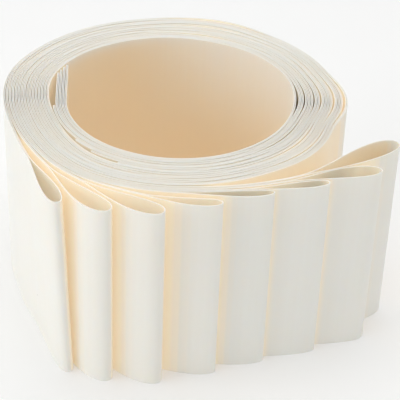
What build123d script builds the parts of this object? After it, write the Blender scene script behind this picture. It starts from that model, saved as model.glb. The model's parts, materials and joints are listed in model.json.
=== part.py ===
"""Roll of tree guard sleeves: eight seamless sleeves pressed flat, stacked and wound up together.

The roll stands on edge, +Z up.  Each sleeve is a closed wall: a long flat double layer wound clockwise
inward, whose outer fold springs open as a teardrop loop at the front.  Sleeve 1 is the outermost of the
stack and sleeve 8 the innermost.  All lengths are in millimetres and all angles in degrees.
"""
import math
import os

from build123d import *

# ---- overall sizes -------------------------------------------------------------------------------
SLEEVES = 8
HEIGHT = 120.0            # width of the sheet, the roll's height when it stands on edge
COIL_RADIUS = 113.2       # where the spiral would start, at wound angle 0
CENTRE_SHIFT = (-14.2, 9.45)  # moves the coil's centre so that the whole roll is centred on the origin

# ---- the sheet -----------------------------------------------------------------------------------
WALL = 0.6                # sheet thickness
FOLD_GAP = 0.2            # between the two walls of one pressed sleeve
CLEARANCE = 0.33          # between neighbouring sleeves
TURN_GAP = 0.12           # extra between one turn of the stack and the next
PITCH = 2 * WALL + FOLD_GAP + CLEARANCE
TURN_PITCH = SLEEVES * PITCH + TURN_GAP
HALF = WALL + FOLD_GAP / 2    # half the thickness of a pressed sleeve

# ---- shape of the coil, by wound angle (clockwise from +X) ----------------------------------------
BULGE = (2.3, 326.0, 55.0)    # height, wound angle and half width of the rounder back right side
DENT = (5.3, 157.0, 46.0)     # depth, wound angle and half width of the flatter front left side
STRAIGHT_FROM = 894.0         # the free inner ends run straight from this wound angle

# gaps between layers: wound angle, sleeve on the outside of the gap, half width, gap
LAYER_GAPS = (
    (357.0, 1, 24.0, 1.3),
    (357.0, 4, 22.0, 1.0),
    (357.0, 8, 20.0, 0.7),
    (717.0, 2, 22.0, 0.5),
    (717.0, 5, 24.0, 0.6),
    (717.0, 7, 20.0, 1.1),
    (282.0, 1, 30.0, 1.3),
    (282.0, 6, 26.0, 1.2),
    (642.0, 4, 26.0, 1.1),
    (395.0, 3, 26.0, 0.8),
    (395.0, 7, 26.0, 0.8),
    (755.0, 4, 26.0, 0.7),
)

# wound angle at which each sleeve's inner end lies, outermost sleeve first
INNER_ENDS = (831.0, 845.0, 856.0, 888.0, 921.5, 924.5, 927.5, 930.0)

# ---- loops at the outer ends ---------------------------------------------------------------------
# wound angle where the sleeve leaves the coil, wound angle of the tip, how far the tip lies beyond
# COIL_RADIUS, tip direction, pull of the two ends of the curve, loop length, loop width
LOOPS = (
    (163.7, 116.55, 17.03, -67.0, 0.45, 0.31, 49.0, 8.1),
    (147.9, 103.58, 10.76, -18.3, 0.16, 0.23, 54.5, 11.2),
    (129.0, 90.14, 7.50, -13.5, 0.23, 0.28, 54.7, 10.8),
    (114.7, 74.34, 0.93, 7.0, 0.25, 0.40, 45.6, 6.0),
    (90.9, 59.02, 1.22, 17.9, 0.31, 0.24, 52.9, 4.9),
    (92.7, 43.86, 11.20, 14.9, 0.32, 0.28, 46.0, 5.5),
    (90.9, 30.90, 26.42, 7.6, 0.42, 0.30, 55.1, 9.6),
    (86.6, 17.74, 24.97, 29.3, 0.53, 0.30, 67.5, 13.3),
)

# ---- drawing steps -------------------------------------------------------------------------------
COIL_STEP = 0.5           # degrees between the points that measure the coil
TIP_ARCS = 14             # arcs along one side of a loop, shorter towards the tip
COIL_ARC = 12.0           # length of one arc along the coil
TIP_ROUNDING = 1.5        # how quickly the fold at the tip reaches its full thickness


def hump(x):
    """A smooth hump: 1 at x = 0, falling to 0 at x = -1 and x = 1."""
    return math.cos(math.pi / 2 * min(abs(x), 1.0)) ** 2


def plus(a, b, scale=1.0):
    """The point a moved by b times scale."""
    return (a[0] + b[0] * scale, a[1] + b[1] * scale)


def unit(a, b):
    """Unit vector from a to b."""
    dx = b[0] - a[0]
    dy = b[1] - a[1]
    length = math.hypot(dx, dy)
    return (dx / length, dy / length)


def at_angle(angle, radius):
    """The point at a wound angle and radius."""
    return (radius * math.cos(math.radians(-angle)), radius * math.sin(math.radians(-angle)))


def stack_radius(angle):
    """Radius of the innermost sleeve's centre line at a wound angle."""
    radius = COIL_RADIUS - TURN_PITCH * (angle / 360 + 1) + PITCH / 2
    height, at, width = BULGE
    radius += height * hump(((angle - at + 180) % 360 - 180) / width)
    depth, at, width = DENT
    for turn in (0, 1):
        radius -= depth * hump((angle - at - 360 * turn) / width)
    for at, _, width, gap in LAYER_GAPS:
        for turn in (1, 2):
            radius += gap * hump((angle + 360 * turn - at) / width)
    return radius


def curved_point(angle):
    """Point on the innermost sleeve's centre line, before its free end runs straight."""
    return at_angle(angle, stack_radius(angle))


def stack_point(angle):
    """Point on the innermost sleeve's centre line, straight after STRAIGHT_FROM."""
    if angle <= STRAIGHT_FROM:
        return curved_point(angle)
    start = curved_point(STRAIGHT_FROM)
    before = curved_point(STRAIGHT_FROM - 0.01)
    per_degree = math.dist(start, before) / 0.01
    return plus(start, unit(before, start), (angle - STRAIGHT_FROM) * per_degree)


def sleeve_point(angle, number):
    """Point on a sleeve's centre line in the coil; sleeves outside the innermost are parallel to it."""
    offset = (SLEEVES - number) * PITCH
    for at, outside, width, gap in LAYER_GAPS:
        if number <= outside:
            offset += gap * hump((angle - at) / width)
    along = unit(stack_point(angle - 0.05), stack_point(angle + 0.05))
    return plus(stack_point(angle), (-along[1], along[0]), offset)


def tail_points(number):
    """Points from a loop's tip back to where its sleeve leaves the coil, on a smooth curve."""
    leave, tip_angle, beyond, aim, pull_coil, pull_tip, _, _ = LOOPS[number - 1]
    start = sleeve_point(leave, number)
    outward = unit(sleeve_point(leave + 0.2, number), sleeve_point(leave - 0.2, number))
    tip = at_angle(tip_angle, COIL_RADIUS + beyond)
    reach = math.dist(start, tip)
    facing = (math.cos(math.radians(aim)), math.sin(math.radians(aim)))
    near_coil = plus(start, outward, reach * pull_coil)
    near_tip = plus(tip, facing, -reach * pull_tip)
    points = []
    for step in range(240):
        u = step / 240
        weights = (u**3, 3 * u * u * (1 - u), 3 * u * (1 - u) ** 2, (1 - u) ** 3)
        points.append(tuple(
            sum(w * p[axis] for w, p in zip(weights, (start, near_coil, near_tip, tip)))
            for axis in (0, 1)
        ))
    return points


class CentreLine:
    """A sleeve's centre line, measured by distance from the loop's tip."""

    def __init__(self, number):
        leave = LOOPS[number - 1][0]
        end = INNER_ENDS[number - 1]
        steps = round((end - leave) / COIL_STEP)
        self.points = tail_points(number)
        for step in range(steps + 1):
            self.points.append(sleeve_point(leave + (end - leave) * step / steps, number))
        self.distance = [0.0]
        for a, b in zip(self.points, self.points[1:]):
            self.distance.append(self.distance[-1] + math.dist(a, b))
        self.length = self.distance[-1]
        self.cursor = 0

    def at(self, s):
        """Point and direction of travel (towards the inner end) at distance s from the tip."""
        s = min(max(s, 0.0), self.length)
        i = self.cursor
        while i > 0 and self.distance[i] > s:
            i -= 1
        while i < len(self.points) - 2 and self.distance[i + 1] < s:
            i += 1
        self.cursor = i
        share = (s - self.distance[i]) / (self.distance[i + 1] - self.distance[i])
        a = self.points[i]
        b = self.points[i + 1]
        before = self.points[max(i - 1, 0)]
        after = self.points[min(i + 2, len(self.points) - 1)]
        first = unit(before, b)
        second = unit(a, after)
        mixed = plus(plus((0, 0), first, 1 - share), second, share)
        return plus(a, (b[0] - a[0], b[1] - a[1]), share), unit((0, 0), mixed)


def half_thickness(s, number):
    """Half the distance between a sleeve's two outer faces, at distance s from the loop's tip."""
    loop_length, loop_width = LOOPS[number - 1][6:]
    t = min(s / loop_length, 1.0)
    opening = loop_width / 2 * 3.079 * math.sqrt(t) * (1 - t) ** 1.5
    return opening + HALF * math.sqrt(1 - math.exp(-s / TIP_ROUNDING))


def stations(number, length):
    """Distances from the tip of the ends and middles of the arcs that draw a sleeve's faces."""
    loop_length = LOOPS[number - 1][6]
    ends = [loop_length * (i / TIP_ARCS) ** 2 for i in range(1, TIP_ARCS + 1)]
    last = length - HALF
    count = round((last - loop_length) / COIL_ARC)
    ends += [loop_length + (last - loop_length) * i / count for i in range(1, count + 1)]
    result = [ends[0]]
    for a, b in zip(ends, ends[1:]):
        result += [(a + b) / 2, b]
    return result


def side_points(line, number, side, inset):
    """Points along one face of a sleeve; side 1 faces out of the roll, side -1 faces in."""
    result = []
    for s in stations(number, line.length):
        around = []
        for shift in (-0.02, 0.0, 0.02):
            point, travel = line.at(s + shift)
            outward = (-travel[1] * side, travel[0] * side)
            around.append(plus(point, outward, half_thickness(s + shift, number)))
        along = unit(around[0], around[2])
        face_normal = (-along[1] * side, along[0] * side)
        result.append(plus(around[1], face_normal, -inset))
    return result


def edge_through(a, middle, b):
    """An arc through three points, or a line where they lie on one."""
    direction = unit(a, b)
    across = (middle[0] - a[0]) * direction[1] - (middle[1] - a[1]) * direction[0]
    if abs(across) < 0.001:
        return Line(a, b)
    return ThreePointArc(a, middle, b)


def closed_wire(line, number, inset):
    """Outline of a sleeve seen from above, moved inward by inset: 0 outside, WALL for the hollow."""
    tip, travel = line.at(0.0)
    tip = plus(tip, travel, inset)
    outer_side = side_points(line, number, 1, inset)
    inner_side = side_points(line, number, -1, inset)
    centre, end_travel = line.at(line.length - HALF)
    fold = plus(centre, end_travel, HALF - inset)
    edges = [
        ThreePointArc(inner_side[0], tip, outer_side[0]),
        ThreePointArc(outer_side[-1], fold, inner_side[-1]),
    ]
    for side in (outer_side, inner_side):
        for a, middle, b in zip(side[:-2:2], side[1:-1:2], side[2::2]):
            edges.append(edge_through(a, middle, b))
    return Wire(edges)


def sleeve(number):
    """One sleeve: the closed wall, as tall as the sheet is wide."""
    line = CentreLine(number)
    section = Face(closed_wire(line, number, 0.0), [closed_wire(line, number, WALL)])
    wall = extrude(section, amount=HEIGHT, dir=(0, 0, 1))
    return Pos(*CENTRE_SHIFT, 0) * wall


def main():
    """Build every sleeve and write one STEP file for each."""
    os.makedirs("parts", exist_ok=True)
    for number in range(1, SLEEVES + 1):
        solid = sleeve(number)
        solid.label = f"sleeve_{number}"
        export_step(solid, f"parts/sleeve_{number}.step")


if __name__ == "__main__":
    main()
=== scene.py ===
"""Roll of tree guard sleeves: eight seamless plastic sleeves, pressed flat, stacked and wound up together.

The roll stands on edge, +Z up.  Each sleeve is one closed wall wound clockwise inward, whose outer fold
springs open as a teardrop loop at the front.  All lengths are in metres and all angles in degrees.
"""
import json
import math

import bpy
from mathutils import Matrix, Vector
from mathutils.bvhtree import BVHTree

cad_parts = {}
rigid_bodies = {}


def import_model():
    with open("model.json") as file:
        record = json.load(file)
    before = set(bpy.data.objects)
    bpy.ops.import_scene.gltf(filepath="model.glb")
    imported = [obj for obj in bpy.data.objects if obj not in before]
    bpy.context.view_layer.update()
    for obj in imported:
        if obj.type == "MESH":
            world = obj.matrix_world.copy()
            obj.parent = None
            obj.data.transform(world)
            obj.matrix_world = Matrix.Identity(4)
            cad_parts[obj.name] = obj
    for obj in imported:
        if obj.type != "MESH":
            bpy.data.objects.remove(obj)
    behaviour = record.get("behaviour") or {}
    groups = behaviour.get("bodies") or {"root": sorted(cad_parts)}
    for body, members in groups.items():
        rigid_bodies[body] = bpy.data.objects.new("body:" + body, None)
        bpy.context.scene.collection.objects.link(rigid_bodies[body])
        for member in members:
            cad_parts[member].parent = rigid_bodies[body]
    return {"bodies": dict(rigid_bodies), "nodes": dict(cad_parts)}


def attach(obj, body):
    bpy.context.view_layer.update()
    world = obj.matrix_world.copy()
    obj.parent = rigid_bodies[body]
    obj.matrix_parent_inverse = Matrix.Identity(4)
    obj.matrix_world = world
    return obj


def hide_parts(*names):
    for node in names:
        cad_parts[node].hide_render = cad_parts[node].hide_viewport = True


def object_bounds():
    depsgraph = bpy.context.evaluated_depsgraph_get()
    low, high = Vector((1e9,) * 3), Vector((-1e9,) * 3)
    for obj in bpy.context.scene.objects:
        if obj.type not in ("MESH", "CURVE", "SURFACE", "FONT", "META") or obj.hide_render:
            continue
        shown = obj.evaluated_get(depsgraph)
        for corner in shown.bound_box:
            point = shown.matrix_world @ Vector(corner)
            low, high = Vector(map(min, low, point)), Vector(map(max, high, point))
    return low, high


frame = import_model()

bl_info = {
    "name": "Tree Guard Roll",
    "version": (1, 0, 0),
    "blender": (4, 5, 0),
    "location": "3D View > Sidebar > Guard Roll",
    "description": "Makes a roll of pressed tree guard sleeves and the stage that it stands on",
    "category": "Add Mesh",
}

CAD_LOW, CAD_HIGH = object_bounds()
SLEEVES = len(frame["bodies"])

# ---- shape of the coil, by wound angle (clockwise from +X) ----------------------------------------
COIL_RADIUS = 0.1132
CENTRE_SHIFT = (-0.0142, 0.00945)
BULGE = (0.0023, 326.0, 55.0)     # height, wound angle and half width of the rounder back right side
DENT = (0.0053, 157.0, 46.0)      # depth, wound angle and half width of the flatter front left side
STRAIGHT_FROM = 894.0             # the free inner ends run straight from this wound angle

# gaps between layers: wound angle, sleeve on the outside of the gap, half width, gap
LAYER_GAPS = (
    (357.0, 1, 24.0, 0.0013),
    (357.0, 4, 22.0, 0.0010),
    (357.0, 8, 20.0, 0.0007),
    (717.0, 2, 22.0, 0.0005),
    (717.0, 5, 24.0, 0.0006),
    (717.0, 7, 20.0, 0.0011),
    (282.0, 1, 30.0, 0.0013),
    (282.0, 6, 26.0, 0.0012),
    (642.0, 4, 26.0, 0.0011),
    (395.0, 3, 26.0, 0.0008),
    (395.0, 7, 26.0, 0.0008),
    (755.0, 4, 26.0, 0.0007),
)

# wound angle at which each sleeve's inner end lies, outermost sleeve first
INNER_ENDS = (831.0, 845.0, 856.0, 888.0, 921.5, 924.5, 927.5, 930.0)

# ---- loops at the outer ends ---------------------------------------------------------------------
# wound angle where the sleeve leaves the coil, wound angle of the tip, how far the tip lies beyond
# COIL_RADIUS, tip direction, pull of the two ends of the curve, loop length, loop width
LOOPS = (
    (163.7, 116.55, 0.01703, -67.0, 0.45, 0.31, 0.0490, 0.0081),
    (147.9, 103.58, 0.01076, -18.3, 0.16, 0.23, 0.0545, 0.0112),
    (129.0, 90.14, 0.00750, -13.5, 0.23, 0.28, 0.0547, 0.0108),
    (114.7, 74.34, 0.00093, 7.0, 0.25, 0.40, 0.0456, 0.0060),
    (90.9, 59.02, 0.00122, 17.9, 0.31, 0.24, 0.0529, 0.0049),
    (92.7, 43.86, 0.01120, 14.9, 0.32, 0.28, 0.0460, 0.0055),
    (90.9, 30.90, 0.02642, 7.6, 0.42, 0.30, 0.0551, 0.0096),
    (86.6, 17.74, 0.02497, 29.3, 0.53, 0.30, 0.0675, 0.0133),
)
TEARDROP = 3.079          # makes the widest place of the teardrop formula equal to the loop's width
TIP_ROUNDING = 0.0015     # how quickly the fold at the tip reaches its full thickness

# ---- drawing steps -------------------------------------------------------------------------------
TAIL_STEPS = 240          # steps of the curve from a tip to the coil
COIL_STEP = 0.5           # degrees between the points that measure the coil
LOOP_STATIONS = 44        # columns of faces along one side of a loop, closer towards the tip
WALL_STEP = 0.003         # between columns of faces along the coil
END_FOLD_STEPS = 10       # columns round the fold at the inner end
NUDGE = 0.00002           # how far apart the points lie that find a face's direction
RUN_TURN = 0.01           # degrees apart of the points that find the way of the straight run
COIL_TURN = 0.05          # degrees either side of the points that find the way along the coil
LEAVE_TURN = 0.2          # degrees either side of the points that find the way a sleeve leaves it


def hump(x):
    """A smooth hump: 1 at x = 0, falling to 0 at x = -1 and x = 1."""
    return math.cos(math.pi / 2 * min(abs(x), 1.0)) ** 2


def plus(a, b, scale=1.0):
    """The point a moved by b times scale."""
    return (a[0] + b[0] * scale, a[1] + b[1] * scale)


def at_angle(angle, radius):
    """The point at a wound angle and radius."""
    return (radius * math.cos(math.radians(-angle)), radius * math.sin(math.radians(-angle)))


def unit(a, b):
    """Unit vector from a to b."""
    dx = b[0] - a[0]
    dy = b[1] - a[1]
    length = math.hypot(dx, dy)
    return (dx / length, dy / length)


class Sleeve:
    """The centre line and thickness of one pressed sleeve, measured by distance from its loop's tip."""

    def __init__(self, number, sizes):
        self.number = number
        self.wall = sizes.wall
        self.half = sizes.wall + sizes.fold_gap / 2
        self.pitch = 2 * sizes.wall + sizes.fold_gap + sizes.clearance
        self.turn_pitch = SLEEVES * self.pitch + sizes.turn_gap
        self.loop_length, self.loop_width = LOOPS[number - 1][6:]
        self.points = self.tail_points()
        leave = LOOPS[number - 1][0]
        end = INNER_ENDS[number - 1]
        steps = round((end - leave) / COIL_STEP)
        for step in range(steps + 1):
            self.points.append(self.coil_point(leave + (end - leave) * step / steps))
        self.distance = [0.0]
        for a, b in zip(self.points, self.points[1:]):
            self.distance.append(self.distance[-1] + math.dist(a, b))
        self.length = self.distance[-1]
        self.cursor = 0

    def curved_point(self, angle):
        """Point on the innermost sleeve's centre line, before its free end runs straight."""
        radius = COIL_RADIUS - self.turn_pitch * (angle / 360 + 1) + self.pitch / 2
        height, at, width = BULGE
        radius += height * hump(((angle - at + 180) % 360 - 180) / width)
        depth, at, width = DENT
        for turn in (0, 1):
            radius -= depth * hump((angle - at - 360 * turn) / width)
        for at, _, width, gap in LAYER_GAPS:
            for turn in (1, 2):
                radius += gap * hump((angle + 360 * turn - at) / width)
        return at_angle(angle, radius)

    def stack_point(self, angle):
        """Point on the innermost sleeve's centre line, straight after STRAIGHT_FROM."""
        if angle <= STRAIGHT_FROM:
            return self.curved_point(angle)
        start = self.curved_point(STRAIGHT_FROM)
        before = self.curved_point(STRAIGHT_FROM - RUN_TURN)
        per_degree = math.dist(start, before) / RUN_TURN
        return plus(start, unit(before, start), (angle - STRAIGHT_FROM) * per_degree)

    def coil_point(self, angle):
        """Point on this sleeve's centre line in the coil, parallel to the innermost sleeve."""
        offset = (SLEEVES - self.number) * self.pitch
        for at, outside, width, gap in LAYER_GAPS:
            if self.number <= outside:
                offset += gap * hump((angle - at) / width)
        along = unit(self.stack_point(angle - COIL_TURN), self.stack_point(angle + COIL_TURN))
        return plus(self.stack_point(angle), (-along[1], along[0]), offset)

    def tail_points(self):
        """Points from the loop's tip back to where the sleeve leaves the coil, on a smooth curve."""
        leave, tip_angle, beyond, aim, pull_coil, pull_tip = LOOPS[self.number - 1][:6]
        start = self.coil_point(leave)
        outward = unit(self.coil_point(leave + LEAVE_TURN), self.coil_point(leave - LEAVE_TURN))
        tip = at_angle(tip_angle, COIL_RADIUS + beyond)
        reach = math.dist(start, tip)
        facing = (math.cos(math.radians(aim)), math.sin(math.radians(aim)))
        handles = (start, plus(start, outward, reach * pull_coil), plus(tip, facing, -reach * pull_tip), tip)
        points = []
        for step in range(TAIL_STEPS):
            u = step / TAIL_STEPS
            weights = (u**3, 3 * u * u * (1 - u), 3 * u * (1 - u) ** 2, (1 - u) ** 3)
            points.append(tuple(sum(w * p[axis] for w, p in zip(weights, handles)) for axis in (0, 1)))
        return points

    def at(self, s):
        """Point and direction of travel (towards the inner end) at distance s from the tip."""
        s = min(max(s, 0.0), self.length)
        i = self.cursor
        while i > 0 and self.distance[i] > s:
            i -= 1
        while i < len(self.points) - 2 and self.distance[i + 1] < s:
            i += 1
        self.cursor = i
        share = (s - self.distance[i]) / (self.distance[i + 1] - self.distance[i])
        a = self.points[i]
        b = self.points[i + 1]
        first = unit(self.points[max(i - 1, 0)], b)
        second = unit(a, self.points[min(i + 2, len(self.points) - 1)])
        mixed = plus(plus((0, 0), first, 1 - share), second, share)
        return plus(a, (b[0] - a[0], b[1] - a[1]), share), unit((0, 0), mixed)

    def opening(self, s):
        """Half the width that the loop has sprung open, at distance s from the tip."""
        t = min(s / self.loop_length, 1.0)
        return self.loop_width / 2 * TEARDROP * math.sqrt(t) * (1 - t) ** 1.5

    def half_thickness(self, s):
        """Half the distance between the sleeve's two outer faces, at distance s from the tip."""
        return self.opening(s) + self.half * math.sqrt(1 - math.exp(-s / TIP_ROUNDING))

    def stations(self):
        """Distances from the tip of the columns of faces along one side."""
        loop = [self.loop_length * (i / LOOP_STATIONS) ** 2 for i in range(1, LOOP_STATIONS + 1)]
        last = self.length - self.half
        count = round((last - self.loop_length) / WALL_STEP)
        return loop + [self.loop_length + (last - self.loop_length) * i / count for i in range(1, count + 1)]

    def column(self, s, side):
        """Middle of the wall and its outward direction; side 1 faces out of the roll, side -1 faces in."""
        around = []
        for shift in (-NUDGE, 0.0, NUDGE):
            point, travel = self.at(s + shift)
            outward = (-travel[1] * side, travel[0] * side)
            around.append(plus(point, outward, self.half_thickness(s + shift)))
        along = unit(around[0], around[2])
        face_normal = (-along[1] * side, along[0] * side)
        return plus(around[1], face_normal, -self.wall / 2), face_normal

    def outline(self):
        """The middle of the wall, once round the sleeve: (point, outward, distance from the tip, side)."""
        tip, travel = self.at(0.0)
        rows = [(plus(tip, travel, self.wall / 2), (-travel[0], -travel[1]), 0.0, 0.0)]
        for s in self.stations():
            rows.append((*self.column(s, 1), s, 1.0))
        centre, travel = self.at(self.length - self.half)
        radius = self.half - self.wall / 2
        for step in range(1, END_FOLD_STEPS):
            turn = math.pi * step / END_FOLD_STEPS
            outward = plus(plus((0, 0), (-travel[1], travel[0]), math.cos(turn)), travel, math.sin(turn))
            rows.append((plus(centre, outward, radius), outward, self.length, math.cos(turn)))
        for s in reversed(self.stations()):
            rows.append((*self.column(s, -1), s, -1.0))
        return [(plus(point, CENTRE_SHIFT), outward, s, side) for point, outward, s, side in rows]


# ---- sweeping the wall ---------------------------------------------------------------------------
RIPPLE_WAVES = 14.0       # waves per metre in a cut edge
FLUTTER_WAVES = 16.0      # waves per metre along a loose wall
FLUTTER_RISE = 9.0        # waves per metre up a loose wall
SHARP_TURN = 20.0         # degrees between faces past which an edge is drawn sharp
SHELTER_RAYS = (-75, -55, -35, -15, 0, 15, 35, 55, 75)    # degrees either side of straight out
SHELTER_REACH = 0.25      # how far away a wall still shelters
LEAN_REACH = 1.6          # how far along the sleeve a lean dies away, in lengths of its loop


class Tree:
    """A node tree being built, with short ways to add nodes and links."""

    def __init__(self, tree):
        self.tree = tree

    def add(self, kind, inputs=None, **settings):
        """A new node with its settings, and its inputs set to values or linked to other nodes' outputs."""
        node = self.tree.nodes.new(kind)
        for name, value in settings.items():
            setattr(node, name, value)
        for name, value in (inputs or {}).items():
            socket = node.inputs[name]
            if isinstance(value, bpy.types.NodeSocket):
                self.tree.links.new(value, socket)
            else:
                socket.default_value = value
        return node

    def math(self, operation, *values):
        """The output of a math node."""
        return self.add("ShaderNodeMath", dict(enumerate(values)), operation=operation).outputs[0]

    def vector(self, operation, *values):
        """The vector output of a vector math node."""
        return self.add("ShaderNodeVectorMath", dict(enumerate(values)), operation=operation).outputs[0]

    def scaled(self, vector, factor):
        """A vector times a number."""
        node = self.add("ShaderNodeVectorMath", {0: vector, "Scale": factor}, operation="SCALE")
        return node.outputs[0]

    def blend(self, share, first, second):
        """A mix of two colours, from the first at 0 to the second at 1."""
        # the mix node's sockets share names between kinds of value, so the colour ones are set by place
        node = self.add("ShaderNodeMix", {0: share, 6: first, 7: second}, data_type="RGBA")
        return node.outputs[2]

    def ramp(self, value, before, after=(0.0, 1.0), **settings):
        """A value carried from one range to another and held at the ends."""
        inputs = {
            "Value": value,
            "From Min": before[0],
            "From Max": before[1],
            "To Min": after[0],
            "To Max": after[1],
        }
        return self.add("ShaderNodeMapRange", inputs, **settings).outputs[0]

    def stored(self, name):
        """The value of a named attribute in a material's tree."""
        return self.add("ShaderNodeAttribute", attribute_name=name).outputs["Fac"]

    def attribute(self, name, kind="FLOAT"):
        """The value of a named attribute in a geometry tree."""
        node = self.add("GeometryNodeInputNamedAttribute", {"Name": name}, data_type=kind)
        return node.outputs["Attribute"]


def sweep_tree():
    """Geometry nodes that sweep a tall thin wall round a sleeve's outline and loosen it a little."""
    group = bpy.data.node_groups.new("Sleeve Wall", "GeometryNodeTree")
    sockets = (
        ("Outline", "INPUT", "NodeSocketGeometry"),
        ("Height", "INPUT", "NodeSocketFloat"),
        ("Wall", "INPUT", "NodeSocketFloat"),
        ("Rim Rounding", "INPUT", "NodeSocketFloat"),
        ("Rows", "INPUT", "NodeSocketInt"),
        ("Edge Ripple", "INPUT", "NodeSocketFloat"),
        ("Wall Flutter", "INPUT", "NodeSocketFloat"),
        ("Seed", "INPUT", "NodeSocketFloat"),
        ("Material", "INPUT", "NodeSocketMaterial"),
        ("Sleeve", "OUTPUT", "NodeSocketGeometry"),
    )
    for name, in_out, kind in sockets:
        group.interface.new_socket(name, in_out=in_out, socket_type=kind)
    t = Tree(group)
    given = t.add("NodeGroupInput").outputs

    # the wall's section: a tall rectangle with rows up its long sides and rounded corners
    section = t.add(
        "GeometryNodeCurvePrimitiveQuadrilateral", {"Width": given["Wall"], "Height": given["Height"]}
    )
    long_side = t.math("MODULO", t.add("GeometryNodeInputIndex").outputs[0], 2.0)
    rows = t.math("MULTIPLY", long_side, given["Rows"])
    section = t.add("GeometryNodeSubdivideCurve", {"Curve": section.outputs[0], "Cuts": rows})
    section = t.add(
        "GeometryNodeFilletCurve",
        {"Curve": section.outputs[0], "Count": 2, "Radius": given["Rim Rounding"], "Limit Radius": True},
        mode="POLY",
    )

    # the sweep round the outline
    path = t.add("GeometryNodeMeshToCurve", {"Mesh": given["Outline"]})
    path = t.add("GeometryNodeSetCurveNormal", {"Curve": path.outputs[0]}, mode="Z_UP")
    swept = t.add("GeometryNodeCurveToMesh", {"Curve": path.outputs[0], "Profile Curve": section.outputs[0]})

    # the cut edges ripple, loose walls flutter and lean, and everything stands on the ground
    place = t.add("ShaderNodeSeparateXYZ", {0: t.add("GeometryNodeInputPosition").outputs[0]}).outputs[2]
    level = t.math("ADD", t.math("DIVIDE", place, given["Height"]), 0.5)
    along = t.attribute("along")
    edge = t.add("ShaderNodeCombineXYZ", {0: t.math("MULTIPLY", along, RIPPLE_WAVES), 1: given["Seed"]})
    ripple = t.add("ShaderNodeTexNoise", {"Vector": edge.outputs[0], "Scale": 1.0, "Detail": 2.0}).outputs[0]
    ripple = t.math("MULTIPLY", t.math("SUBTRACT", ripple, 0.5), given["Edge Ripple"])
    ripple = t.math("MULTIPLY", ripple, t.math("POWER", level, 2.0))
    middle = t.math("MULTIPLY", given["Height"], 0.5)
    rise = t.add("ShaderNodeCombineXYZ", {2: t.math("ADD", middle, ripple)})
    spot = t.add(
        "ShaderNodeCombineXYZ",
        {
            0: t.math("MULTIPLY", along, FLUTTER_WAVES),
            1: t.math("ADD", given["Seed"], t.attribute("side")),
            2: t.math("MULTIPLY", place, FLUTTER_RISE),
        },
    ).outputs[0]
    flutter = t.add("ShaderNodeTexNoise", {"Vector": spot, "Scale": 1.0, "Detail": 1.0}).outputs[0]
    flutter = t.math("MULTIPLY", t.math("SUBTRACT", flutter, 0.5), given["Wall Flutter"])
    flutter = t.math("MULTIPLY", flutter, t.attribute("looseness"))
    offset = t.vector("ADD", rise.outputs[0], t.scaled(t.attribute("outward", "FLOAT_VECTOR"), flutter))
    lean = t.scaled(t.attribute("lean", "FLOAT_VECTOR"), t.math("SUBTRACT", 1.0, level))
    offset = t.vector("ADD", offset, lean)
    moved = t.add("GeometryNodeSetPosition", {"Geometry": swept.outputs[0], "Offset": offset})

    # smooth walls with crisp rims
    angle = t.add("GeometryNodeInputMeshEdgeAngle").outputs[0]
    crisp = t.math("GREATER_THAN", angle, math.radians(SHARP_TURN))
    smooth = t.add("GeometryNodeSetShadeSmooth", {"Geometry": moved.outputs[0], "Shade Smooth": True})
    smooth = t.add(
        "GeometryNodeSetShadeSmooth",
        {"Geometry": smooth.outputs[0], "Selection": crisp, "Shade Smooth": False},
        domain="EDGE",
    )
    whole = t.add("GeometryNodeRealizeInstances", {"Geometry": smooth.outputs[0]})
    painted = t.add("GeometryNodeSetMaterial", {"Geometry": whole.outputs[0], "Material": given["Material"]})
    t.add("NodeGroupOutput", {"Sleeve": painted.outputs[0]})
    return group


def fence(outlines):
    """Every outline as a low fence that level rays can hit."""
    verts = []
    faces = []
    for rows in outlines:
        first = len(verts)
        count = len(rows)
        for point, _, _, _ in rows:
            verts += [(*point, -1.0), (*point, 1.0)]
        for i in range(count):
            a = first + 2 * i
            b = first + 2 * ((i + 1) % count)
            faces.append((a, b, b + 1, a + 1))
    return BVHTree.FromPolygons(verts, faces)


def shelter(walls, point, outward, wall):
    """How shut in a wall's face is, from 0 in the open to 1, and how far off the walls in front are."""
    start = Vector((*plus(point, outward, wall), 0.0))
    total = 0.0
    weight = 0.0
    distance = 0.0
    for degrees in SHELTER_RAYS:
        turn = math.radians(degrees)
        way = Vector((
            outward[0] * math.cos(turn) - outward[1] * math.sin(turn),
            outward[0] * math.sin(turn) + outward[1] * math.cos(turn),
            0.0,
        ))
        hit = walls.ray_cast(start, way, SHELTER_REACH)
        weight += math.cos(turn)
        if hit[0] is not None:
            total += math.cos(turn)
            distance += math.cos(turn) * hit[3]
    return total / weight, distance / max(total, 0.01)


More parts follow.
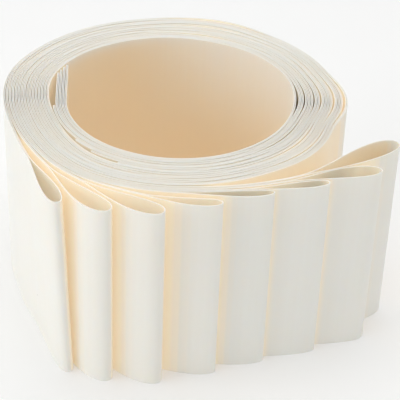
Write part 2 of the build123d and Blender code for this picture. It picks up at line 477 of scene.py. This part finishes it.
def outline_object(sleeve, rows, lean, walls):
    """A ring of edges along the middle of the sleeve's wall, with what the sweep needs at each point."""
    count = len(rows)
    mesh = bpy.data.meshes.new(f"outline_{sleeve.number}")
    mesh.from_pydata(
        [(*point, 0.0) for point, _, _, _ in rows],
        [(i, (i + 1) % count) for i in range(count)],
        [],
    )
    widest = sleeve.loop_width / 2
    loose = [min(sleeve.opening(s) / widest, 1.0) for _, _, s, _ in rows]
    leaning = [hump(s / (LEAN_REACH * sleeve.loop_length)) for _, _, s, _ in rows]
    # shelter and the distance to the opposite wall lay the painted shade and painted glow in the material
    painted_shade_mask = [shelter(walls, point, out, sleeve.wall) for point, out, _, _ in rows]
    values = {
        "along": ("FLOAT", [s for _, _, s, _ in rows]),
        "side": ("FLOAT", [side for _, _, _, side in rows]),
        "looseness": ("FLOAT", loose),
        "shelter": ("FLOAT", [share for share, _ in painted_shade_mask]),
        "opposite": ("FLOAT", [distance for _, distance in painted_shade_mask]),
        "outward": ("FLOAT_VECTOR", [v for _, out, _, _ in rows for v in (*out, 0.0)]),
        "lean": ("FLOAT_VECTOR", [v for f in leaning for v in (lean[0] * f, lean[1] * f, 0.0)]),
    }
    for name, (kind, numbers) in values.items():
        attribute = mesh.attributes.new(name, kind, "POINT")
        attribute.data.foreach_set("value" if kind == "FLOAT" else "vector", numbers)
    return bpy.data.objects.new(f"outline_{sleeve.number}", mesh)


def swept_mesh(outline, group, inputs):
    """The plain mesh that the node group makes of an outline."""
    modifier = outline.modifiers.new("wall", "NODES")
    modifier.node_group = group
    for item in group.interface.items_tree:
        if item.in_out == "INPUT" and item.name in inputs:
            modifier[item.identifier] = inputs[item.name]
    bpy.context.scene.collection.objects.link(outline)
    evaluated = outline.evaluated_get(bpy.context.evaluated_depsgraph_get())
    mesh = bpy.data.meshes.new_from_object(evaluated)
    outline.modifiers.remove(modifier)
    bpy.data.objects.remove(outline)
    return mesh


# ---- the plastic ---------------------------------------------------------------------------------
STREAK_WAVES = (420.0, 6.0)       # draw lines per metre along the sheet and up it
CLOUD_WAVES = 22.0                # clouds of tone per metre
TONE_SPREAD = (0.35, 0.65)        # noise that gives the deep and the light tone
GRAIN_WAVES = 900.0               # grains per metre
GRAIN_ROUGHNESS = 0.12            # how much the grain varies the roughness
RELIEF = (0.25, 0.0002)           # strength and depth of the bump
# painted shade, painted glow and painted light: how the walls that other walls shut in are painted warm, and
# where that is taken away
PAINTED_SHADE_SHELTER = (0.03, 0.5)             # shelter at which the painted warm shade starts and is full
NARROW = 0.045                    # distance between walls over which a gap stops being narrow
TOUCHING = (0.0003, 0.0025)       # distances between walls that are pressed and that stand apart
LOOP_SHELTER = (0.9, 1.0)         # shelter of a valley and of the inside of a loop
LOOP_GLOW = (1.0, 1.4)            # share of the painted glow in each
BURIED = (0.9, 1.05)              # distances from the tip between which the narrow gaps lose their painted glow
WIDE_GLOW = 0.35                  # share of the painted glow that is left in wide places
MOUTH = 0.05                      # how far below the rim the painted shade sets in, as a share of the way across
MOUTH_LEAST = 0.0001              # keeps that share finite at the rim
RIM_FACING = (0.3, 0.8)           # how far a face must turn up or down to count as a rim
RIM_BARE = 0.78                   # share of the painted warm shade and painted glow that a rim loses, as painted light
WINDOW_WAY = (-0.9, -0.4, 0.0)    # level direction from the roll to the painted light at the window side
WINDOW_FACING = 0.7               # how squarely a wall must face it to get all the painted light
WINDOW_DEPTH = 0.09               # how far below the rim that painted light reaches
WINDOW_BLEACH = 0.9               # share of the painted warm shade that the painted light takes away
SPECK_CELLS = 55.0                # cells per metre, of which a few hold a speck of dust
SPECK_RARE = 0.94                 # share of the cells that hold none
SPECK_EDGE = (0.028, 0.045)       # where a speck starts to fade and ends, as a share of a cell
SPECK_SHARE = 0.7                 # how much of the plastic's colour a speck hides
SPECK_COLOUR = (0.12, 0.09, 0.07, 1.0)
SCATTER_COLOURS = (1.0, 0.85, 0.7)    # how far each colour of light travels, against red


def mottled(t, finish, streaks, place):
    """The plastic's own colour, cloudy and faintly streaked."""
    cloud = t.add("ShaderNodeTexNoise", {"Vector": place, "Scale": CLOUD_WAVES, "Detail": 3.0}).outputs[0]
    tone = t.math("ADD", t.math("MULTIPLY", streaks, 0.5), t.math("MULTIPLY", cloud, 0.5))
    tone = t.ramp(tone, TONE_SPREAD)
    return t.blend(tone, (*finish.colour_deep, 1.0), (*finish.colour_light, 1.0))


def painted_shade_and_glow(t, finish, height):
    """Painted shade and glow: how far a wall's colour is painted warm where other walls shut it in, the
    painted warm colour, and a painted glow.

    The warm colour and the glow stand in for light that reaches such a wall through and off other walls,
    which leaves it warmer.
    """
    painted_shade_mask = t.ramp(t.stored("shelter"), PAINTED_SHADE_SHELTER, interpolation_type="SMOOTHSTEP")
    opposite = t.stored("opposite")
    depth = t.math("SUBTRACT", CAD_HIGH[2], height)
    narrow = t.math("EXPONENT", t.math("MULTIPLY", opposite, -1.0 / NARROW))
    apart = t.ramp(opposite, TOUCHING)
    wide = t.math("SUBTRACT", 1.0, narrow)

    # painted glow: the walls of a loop get a little more painted glow than a valley; gaps deep in the roll
    # get none
    within = t.ramp(t.stored("shelter"), LOOP_SHELTER, LOOP_GLOW)
    buried = t.ramp(t.stored("along"), BURIED, (1.0, 0.0))
    painted_glow_share = t.math("MULTIPLY", t.math("MULTIPLY", narrow, apart), t.math("MULTIPLY", within, buried))
    painted_glow_share = t.math("ADD", painted_glow_share, t.math("MULTIPLY", wide, WIDE_GLOW))
    glow = t.math("MULTIPLY", t.math("MULTIPLY", painted_shade_mask, finish.glow), painted_glow_share)

    # the painted shade fades out just below the rim, where a wall is less shut in
    across = t.math("MULTIPLY", opposite, MOUTH)
    slant = t.math("SQRT", t.math("ADD", t.math("POWER", depth, 2.0), t.math("POWER", across, 2.0)))
    below = t.math("DIVIDE", depth, t.math("ADD", slant, MOUTH_LEAST))
    painted_shade_mask = t.math("MULTIPLY", painted_shade_mask, below)

    # painted light: light straight from the window side is painted onto the top of the wall that faces it
    # across the eye, by taking away the painted shade there
    normal = t.add("ShaderNodeNewGeometry").outputs["True Normal"]
    towards = t.add("ShaderNodeVectorMath", {0: normal, 1: WINDOW_WAY}, operation="DOT_PRODUCT")
    towards = t.ramp(towards.outputs["Value"], (0.0, WINDOW_FACING))
    reach = t.ramp(depth, (0.0, WINDOW_DEPTH), (1.0, 0.0), interpolation_type="SMOOTHSTEP")
    painted_window_light = t.math("MULTIPLY", t.math("MULTIPLY", towards, reach), wide)
    painted_shade_mask = t.math("MULTIPLY", painted_shade_mask, t.math("SUBTRACT", 1.0, t.math("MULTIPLY", painted_window_light, WINDOW_BLEACH)))

    # painted light: the cut rims lie open to the sky, so they lose most of the painted shade and painted
    # glow
    facing = t.add("ShaderNodeSeparateXYZ", {0: normal}).outputs[2]
    rim = t.ramp(t.math("ABSOLUTE", facing), RIM_FACING)
    painted_rim_light = t.math("SUBTRACT", 1.0, t.math("MULTIPLY", rim, RIM_BARE))
    shade_and_glow_colour = t.blend(narrow, (*finish.painted_shade_tone, 1.0), (*finish.painted_gap_shade_tone, 1.0))
    return t.math("MULTIPLY", painted_shade_mask, painted_rim_light), shade_and_glow_colour, t.math("MULTIPLY", glow, painted_rim_light)


def dust(t, place):
    """How much of a rare dark speck of dust lies here."""
    cells = t.add("ShaderNodeTexVoronoi", {"Vector": place, "Scale": SPECK_CELLS}, feature="F1")
    rare = t.add("ShaderNodeSeparateColor", {0: cells.outputs["Color"]}).outputs[0]
    near = t.ramp(cells.outputs["Distance"], SPECK_EDGE, (1.0, 0.0))
    speck = t.math("MULTIPLY", t.math("GREATER_THAN", rare, SPECK_RARE), near)
    return t.math("MULTIPLY", speck, SPECK_SHARE)


def sheet_material(finish):
    """Soft translucent cream plastic with faint draw lines up the sheet, cloudy tone and a few specks, with
    painted shade and a painted glow where walls shut each other in.
    """
    material = bpy.data.materials.new("cream_sheet")
    material.use_nodes = True
    t = Tree(material.node_tree)
    t.tree.nodes.clear()
    place = t.add("ShaderNodeTexCoord").outputs["Object"]
    height = t.add("ShaderNodeSeparateXYZ", {0: place}).outputs[2]

    # draw lines run up the sheet, so they are fine along it and long up it
    streak_at = t.add(
        "ShaderNodeCombineXYZ",
        {
            0: t.math("MULTIPLY", t.stored("along"), STREAK_WAVES[0]),
            1: t.math("MULTIPLY", height, STREAK_WAVES[1]),
        },
    ).outputs[0]
    streaks = t.add("ShaderNodeTexNoise", {"Vector": streak_at, "Scale": 1.0, "Detail": 3.0}).outputs[0]
    grain = t.add("ShaderNodeTexNoise", {"Vector": place, "Scale": GRAIN_WAVES, "Detail": 2.0}).outputs[0]
    relief = t.math("ADD", t.math("MULTIPLY", streaks, 0.7), t.math("MULTIPLY", grain, 0.3))
    strength, deep = RELIEF
    bump = t.add("ShaderNodeBump", {"Height": relief, "Strength": strength, "Distance": deep}).outputs[0]
    least_rough = finish.roughness - GRAIN_ROUGHNESS / 2

    # painted shade: the colour is painted warm where other walls shut a wall in
    painted_shade_mask, shade_and_glow_colour, glow = painted_shade_and_glow(t, finish, height)
    colour = t.blend(painted_shade_mask, mottled(t, finish, streaks, place), shade_and_glow_colour)
    plastic = t.add(
        "ShaderNodeBsdfPrincipled",
        {
            "Base Color": t.blend(dust(t, place), colour, SPECK_COLOUR),
            "Roughness": t.math("ADD", t.math("MULTIPLY", grain, GRAIN_ROUGHNESS), least_rough),
            "Normal": bump,
            "IOR": 1.5,
            "Specular IOR Level": 0.35,
            # painted glow: the shut-in walls give off light, though the plastic is no lamp
            "Emission Color": shade_and_glow_colour,
            "Emission Strength": glow,
            "Subsurface Weight": finish.translucency,
            "Subsurface Radius": SCATTER_COLOURS,
            "Subsurface Scale": finish.scatter_depth,
        },
        subsurface_method="RANDOM_WALK",
    )
    t.add("ShaderNodeOutputMaterial", {"Surface": plastic.outputs[0]})
    return material


def stage_material(name, colour, roughness, glow):
    """A plain matt finish for the stage, lit a little from behind as a light table is."""
    material = bpy.data.materials.new(name)
    material.use_nodes = True
    plain = material.node_tree.nodes["Principled BSDF"]
    plain.inputs["Base Color"].default_value = (*colour, 1.0)
    plain.inputs["Roughness"].default_value = roughness
    plain.inputs["Emission Color"].default_value = (1.0, 1.0, 1.0, 1.0)
    plain.inputs["Emission Strength"].default_value = glow
    return material


# ---- settings ------------------------------------------------------------------------------------
class GuardSheetSizes(bpy.types.PropertyGroup):
    """Sizes of the sheet that the sleeves are made of."""

    height: bpy.props.FloatProperty(
        name="Sheet width", description="Width of the sheet, the roll's height on edge",
        default=CAD_HIGH[2] - CAD_LOW[2], unit="LENGTH",
    )
    wall: bpy.props.FloatProperty(
        name="Wall", description="Thickness of the plastic", default=0.0006, unit="LENGTH", precision=5,
    )
    fold_gap: bpy.props.FloatProperty(
        name="Fold gap", description="Air between the two walls of a pressed sleeve",
        default=0.0002, unit="LENGTH", precision=5,
    )
    clearance: bpy.props.FloatProperty(
        name="Clearance", description="Air between neighbouring sleeves",
        default=0.00033, unit="LENGTH", precision=5,
    )
    turn_gap: bpy.props.FloatProperty(
        name="Turn gap", description="Extra air between one turn of the stack and the next",
        default=0.00012, unit="LENGTH", precision=5,
    )
    rim: bpy.props.FloatProperty(
        name="Rim rounding", description="Radius of the softened cut edges",
        default=0.00014, unit="LENGTH", precision=5,
    )
    ripple: bpy.props.FloatProperty(
        name="Edge ripple", description="How far the top edges rise and fall along the sheet",
        default=0.0016, unit="LENGTH", precision=4,
    )
    flutter: bpy.props.FloatProperty(
        name="Wall flutter", description="How far the loose walls of the loops wander from true",
        default=0.0009, unit="LENGTH", precision=4,
    )
    rows: bpy.props.IntProperty(
        name="Rows", description="Rows of faces up the sheet", default=9, min=1, max=40,
    )


class GuardSheetFinish(bpy.types.PropertyGroup):
    """Colour and surface of the plastic, with its painted shade and painted glow."""

    colour_light: bpy.props.FloatVectorProperty(
        name="Light tone", description="Lighter tone of the plastic", subtype="COLOR",
        default=(0.91, 0.895, 0.84), min=0.0, max=1.0,
    )
    colour_deep: bpy.props.FloatVectorProperty(
        name="Deep tone", description="Deeper tone of the plastic", subtype="COLOR",
        default=(0.90, 0.875, 0.81), min=0.0, max=1.0,
    )
    # painted shade: the warm tone painted where other walls shut a wall in, standing in for light through
    # and off them
    painted_shade_tone: bpy.props.FloatVectorProperty(
        name="Inner tone", description="Warm tone of walls that are shut in by other walls", subtype="COLOR",
        default=(0.95, 0.75, 0.52), min=0.0, max=1.0,
    )
    # painted shade: the pale warm tone painted where walls face each other closely
    painted_gap_shade_tone: bpy.props.FloatVectorProperty(
        name="Narrow tone", description="Pale warm tone of walls that face each other closely",
        subtype="COLOR", default=(0.97, 0.865, 0.715), min=0.0, max=1.0,
    )
    roughness: bpy.props.FloatProperty(
        name="Roughness", description="Roughness of the soft sheen", default=0.48, min=0.0, max=1.0,
        subtype="FACTOR",
    )
    translucency: bpy.props.FloatProperty(
        name="Translucency", description="Share of the light that scatters inside the sheet",
        default=0.6, min=0.0, max=1.0, subtype="FACTOR",
    )
    # painted glow: strength of the light that shut-in walls give off, though the plastic is no lamp
    glow: bpy.props.FloatProperty(
        name="Glow", description="Light that the plastic carries into narrow gaps", default=0.115, min=0.0,
    )
    scatter_depth: bpy.props.FloatProperty(
        name="Scatter depth", description="How far red light travels inside the plastic",
        default=0.0008, unit="LENGTH", precision=4,
    )


class GuardStage(bpy.types.PropertyGroup):
    """The floor, the lights and the camera."""

    floor_colour: bpy.props.FloatVectorProperty(
        name="Floor", description="Colour of the floor and backdrop", subtype="COLOR",
        default=(0.86, 0.86, 0.86), min=0.0, max=1.0,
    )
    glow: bpy.props.FloatProperty(
        name="Floor glow", description="Light that comes through the floor", default=0.13, min=0.0,
    )
    sky: bpy.props.FloatProperty(
        name="Sky", description="Strength of the even light all round", default=0.59, min=0.0,
    )
    key: bpy.props.FloatProperty(
        name="Key light", description="Power of the large light at front left", default=8.1, min=0.0,
    )
    fill: bpy.props.FloatProperty(
        name="Fill light", description="Power of the light overhead", default=7.4, min=0.0,
    )
    focal: bpy.props.FloatProperty(
        name="Focal length", description="Focal length of the lens in millimetres", default=129.3, min=1.0,
    )
    tilt: bpy.props.FloatProperty(
        name="Tilt", description="Roll of the camera about its own view", default=math.radians(2.26),
        subtype="ANGLE",
    )


# ---- operators -----------------------------------------------------------------------------------
# how far the foot of each loop leans, as the free fold of the outermost sleeve does
LEANS = {1: (0.004, 0.0)}
SEED_STEP = 3.7           # between the noise seeds of neighbouring sleeves


class GUARD_OT_sleeves(bpy.types.Operator):
    """Sweep the eight sleeves round their outlines, each on its own body"""

    bl_idname = "guard.sleeves"
    bl_label = "Sleeves"

    def execute(self, context):
        sizes = context.scene.guard_sizes
        material = sheet_material(context.scene.guard_finish)
        group = sweep_tree()
        sleeves = [Sleeve(number, sizes) for number in range(1, SLEEVES + 1)]
        outlines = [sleeve.outline() for sleeve in sleeves]
        walls = fence(outlines)
        for sleeve, rows in zip(sleeves, outlines):
            number = sleeve.number
            node = f"sleeve_{number}"
            if node not in frame["nodes"]:
                raise RuntimeError(f"the frame has no {node}")
            inputs = {
                "Height": sizes.height,
                "Wall": sizes.wall,
                "Rim Rounding": sizes.rim,
                "Rows": sizes.rows,
                "Edge Ripple": sizes.ripple,
                "Wall Flutter": sizes.flutter,
                "Seed": SEED_STEP * number,
                "Material": material,
            }
            outline = outline_object(sleeve, rows, LEANS.get(number, (0.0, 0.0)), walls)
            piece = bpy.data.objects.new(f"guard_{node}", swept_mesh(outline, group, inputs))
            context.scene.collection.objects.link(piece)
            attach(piece, node)
            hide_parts(node)
        return {"FINISHED"}


class GUARD_OT_stage(bpy.types.Operator):
    """Lay the pale floor and set the lights and the camera"""

    bl_idname = "guard.stage"
    bl_label = "Stage"

    def execute(self, context):
        stage = context.scene.guard_stage
        lay_floor(stage)
        light_stage(stage)
        place_camera(stage)
        return {"FINISHED"}


# ---- the stage -----------------------------------------------------------------------------------
FLOOR_SIDE = 3.0          # half the floor's width
FLOOR_FRONT = -2.0
FLOOR_BACK = 1.6
FLOOR_BEND = 0.8          # radius of the curve up into the backdrop
BEND_STEPS = 12
BACKDROP_TOP = 2.5
FLOOR_ROUGHNESS = 0.9
SKY_COLOUR = (0.99, 1.0, 1.0, 1.0)
LIGHT_COLOUR = (1.0, 0.99, 0.97)
LIGHT_TARGET = (0.0, 0.0, 0.06)
KEY_PLACE = (-1.6, -0.6, 0.62)
KEY_SIZE = 1.2
FILL_PLACE = (0.1, 0.1, 1.5)
FILL_SIZE = 1.4
CAMERA_PLACE = (0.00376, -0.74015, 0.55902)
CAMERA_TARGET = (0.00376, -0.10017, 0.12044)
SENSOR_WIDTH = 36.0       # millimetres
NEAREST = 0.01            # nothing closer to the lens than this is drawn


def lay_floor(stage):
    """A pale floor that curves up into a backdrop behind the roll."""
    start = FLOOR_BACK - FLOOR_BEND
    profile = [(FLOOR_FRONT, 0.0), (start, 0.0)]
    for step in range(1, BEND_STEPS + 1):
        turn = math.pi / 2 * step / BEND_STEPS
        profile.append((start + FLOOR_BEND * math.sin(turn), FLOOR_BEND - FLOOR_BEND * math.cos(turn)))
    profile.append((FLOOR_BACK, BACKDROP_TOP))
    verts = [(x, y, z) for y, z in profile for x in (-FLOOR_SIDE, FLOOR_SIDE)]
    faces = [(2 * i, 2 * i + 1, 2 * i + 3, 2 * i + 2) for i in range(len(profile) - 1)]
    mesh = bpy.data.meshes.new("floor")
    mesh.from_pydata(verts, [], faces)
    mesh.polygons.foreach_set("use_smooth", [True] * len(mesh.polygons))
    mesh.materials.append(stage_material("floor_matt", stage.floor_colour, FLOOR_ROUGHNESS, stage.glow))
    floor = bpy.data.objects.new("floor", mesh)
    bpy.context.scene.collection.objects.link(floor)


def add_light(name, power, size, place):
    """A square area light that faces the middle of the roll."""
    light = bpy.data.lights.new(name, "AREA")
    light.energy = power
    light.size = size
    light.color = LIGHT_COLOUR
    lamp = bpy.data.objects.new(name, light)
    direction = Vector(LIGHT_TARGET) - Vector(place)
    lamp.matrix_world = Matrix.Translation(place) @ direction.to_track_quat("-Z", "Y").to_matrix().to_4x4()
    bpy.context.scene.collection.objects.link(lamp)


def light_stage(stage):
    """Soft light from the front left and above, in an even pale room."""
    world = bpy.data.worlds.new("studio")
    world.use_nodes = True
    background = world.node_tree.nodes["Background"]
    background.inputs["Color"].default_value = SKY_COLOUR
    background.inputs["Strength"].default_value = stage.sky
    bpy.context.scene.world = world
    bpy.context.scene.view_settings.view_transform = "Standard"
    add_light("key", stage.key, KEY_SIZE, KEY_PLACE)
    add_light("overhead", stage.fill, FILL_SIZE, FILL_PLACE)


def place_camera(stage):
    """The camera, a little above the roll and in front of it."""
    place = Vector(CAMERA_PLACE)
    target = Vector(CAMERA_TARGET)
    forward = (target - place).normalized()
    level = forward.cross(Vector((0.0, 0.0, 1.0))).normalized()
    up = level.cross(forward)
    right = level * math.cos(stage.tilt) + up * math.sin(stage.tilt)
    over = right.cross(forward)
    lens = bpy.data.cameras.new("camera")
    lens.lens = stage.focal
    lens.sensor_width = SENSOR_WIDTH
    lens.clip_start = NEAREST
    camera = bpy.data.objects.new("camera", lens)
    turned = Matrix((right, over, -forward)).transposed().to_4x4()
    camera.matrix_world = Matrix.Translation(place) @ turned
    bpy.context.scene.collection.objects.link(camera)
    bpy.context.scene.camera = camera


class GUARD_PT_panel(bpy.types.Panel):
    """Sizes, finish and stage of the roll, and the operators that make them"""

    bl_idname = "GUARD_PT_panel"
    bl_label = "Guard Roll"
    bl_space_type = "VIEW_3D"
    bl_region_type = "UI"
    bl_category = "Guard Roll"

    def draw(self, context):
        scene = context.scene
        for title, settings in (
            ("Sheet", scene.guard_sizes),
            ("Finish", scene.guard_finish),
            ("Stage", scene.guard_stage),
        ):
            box = self.layout.box()
            box.label(text=title)
            for name in settings.__annotations__:
                box.prop(settings, name)
        for operator in OPERATORS:
            self.layout.operator(operator.bl_idname)


OPERATORS = (GUARD_OT_sleeves, GUARD_OT_stage)
CLASSES = (GuardSheetSizes, GuardSheetFinish, GuardStage, *OPERATORS, GUARD_PT_panel)


def register():
    """Register the classes and hang the settings on the scene."""
    for cls in CLASSES:
        bpy.utils.register_class(cls)
    bpy.types.Scene.guard_sizes = bpy.props.PointerProperty(type=GuardSheetSizes)
    bpy.types.Scene.guard_finish = bpy.props.PointerProperty(type=GuardSheetFinish)
    bpy.types.Scene.guard_stage = bpy.props.PointerProperty(type=GuardStage)


def unregister():
    """Undo what register does."""
    del bpy.types.Scene.guard_stage
    del bpy.types.Scene.guard_finish
    del bpy.types.Scene.guard_sizes
    for cls in reversed(CLASSES):
        bpy.utils.unregister_class(cls)


def main():
    """Make the whole scene."""
    register()
    bpy.ops.guard.sleeves()
    bpy.ops.guard.stage()


if __name__ == "__main__":
    main()
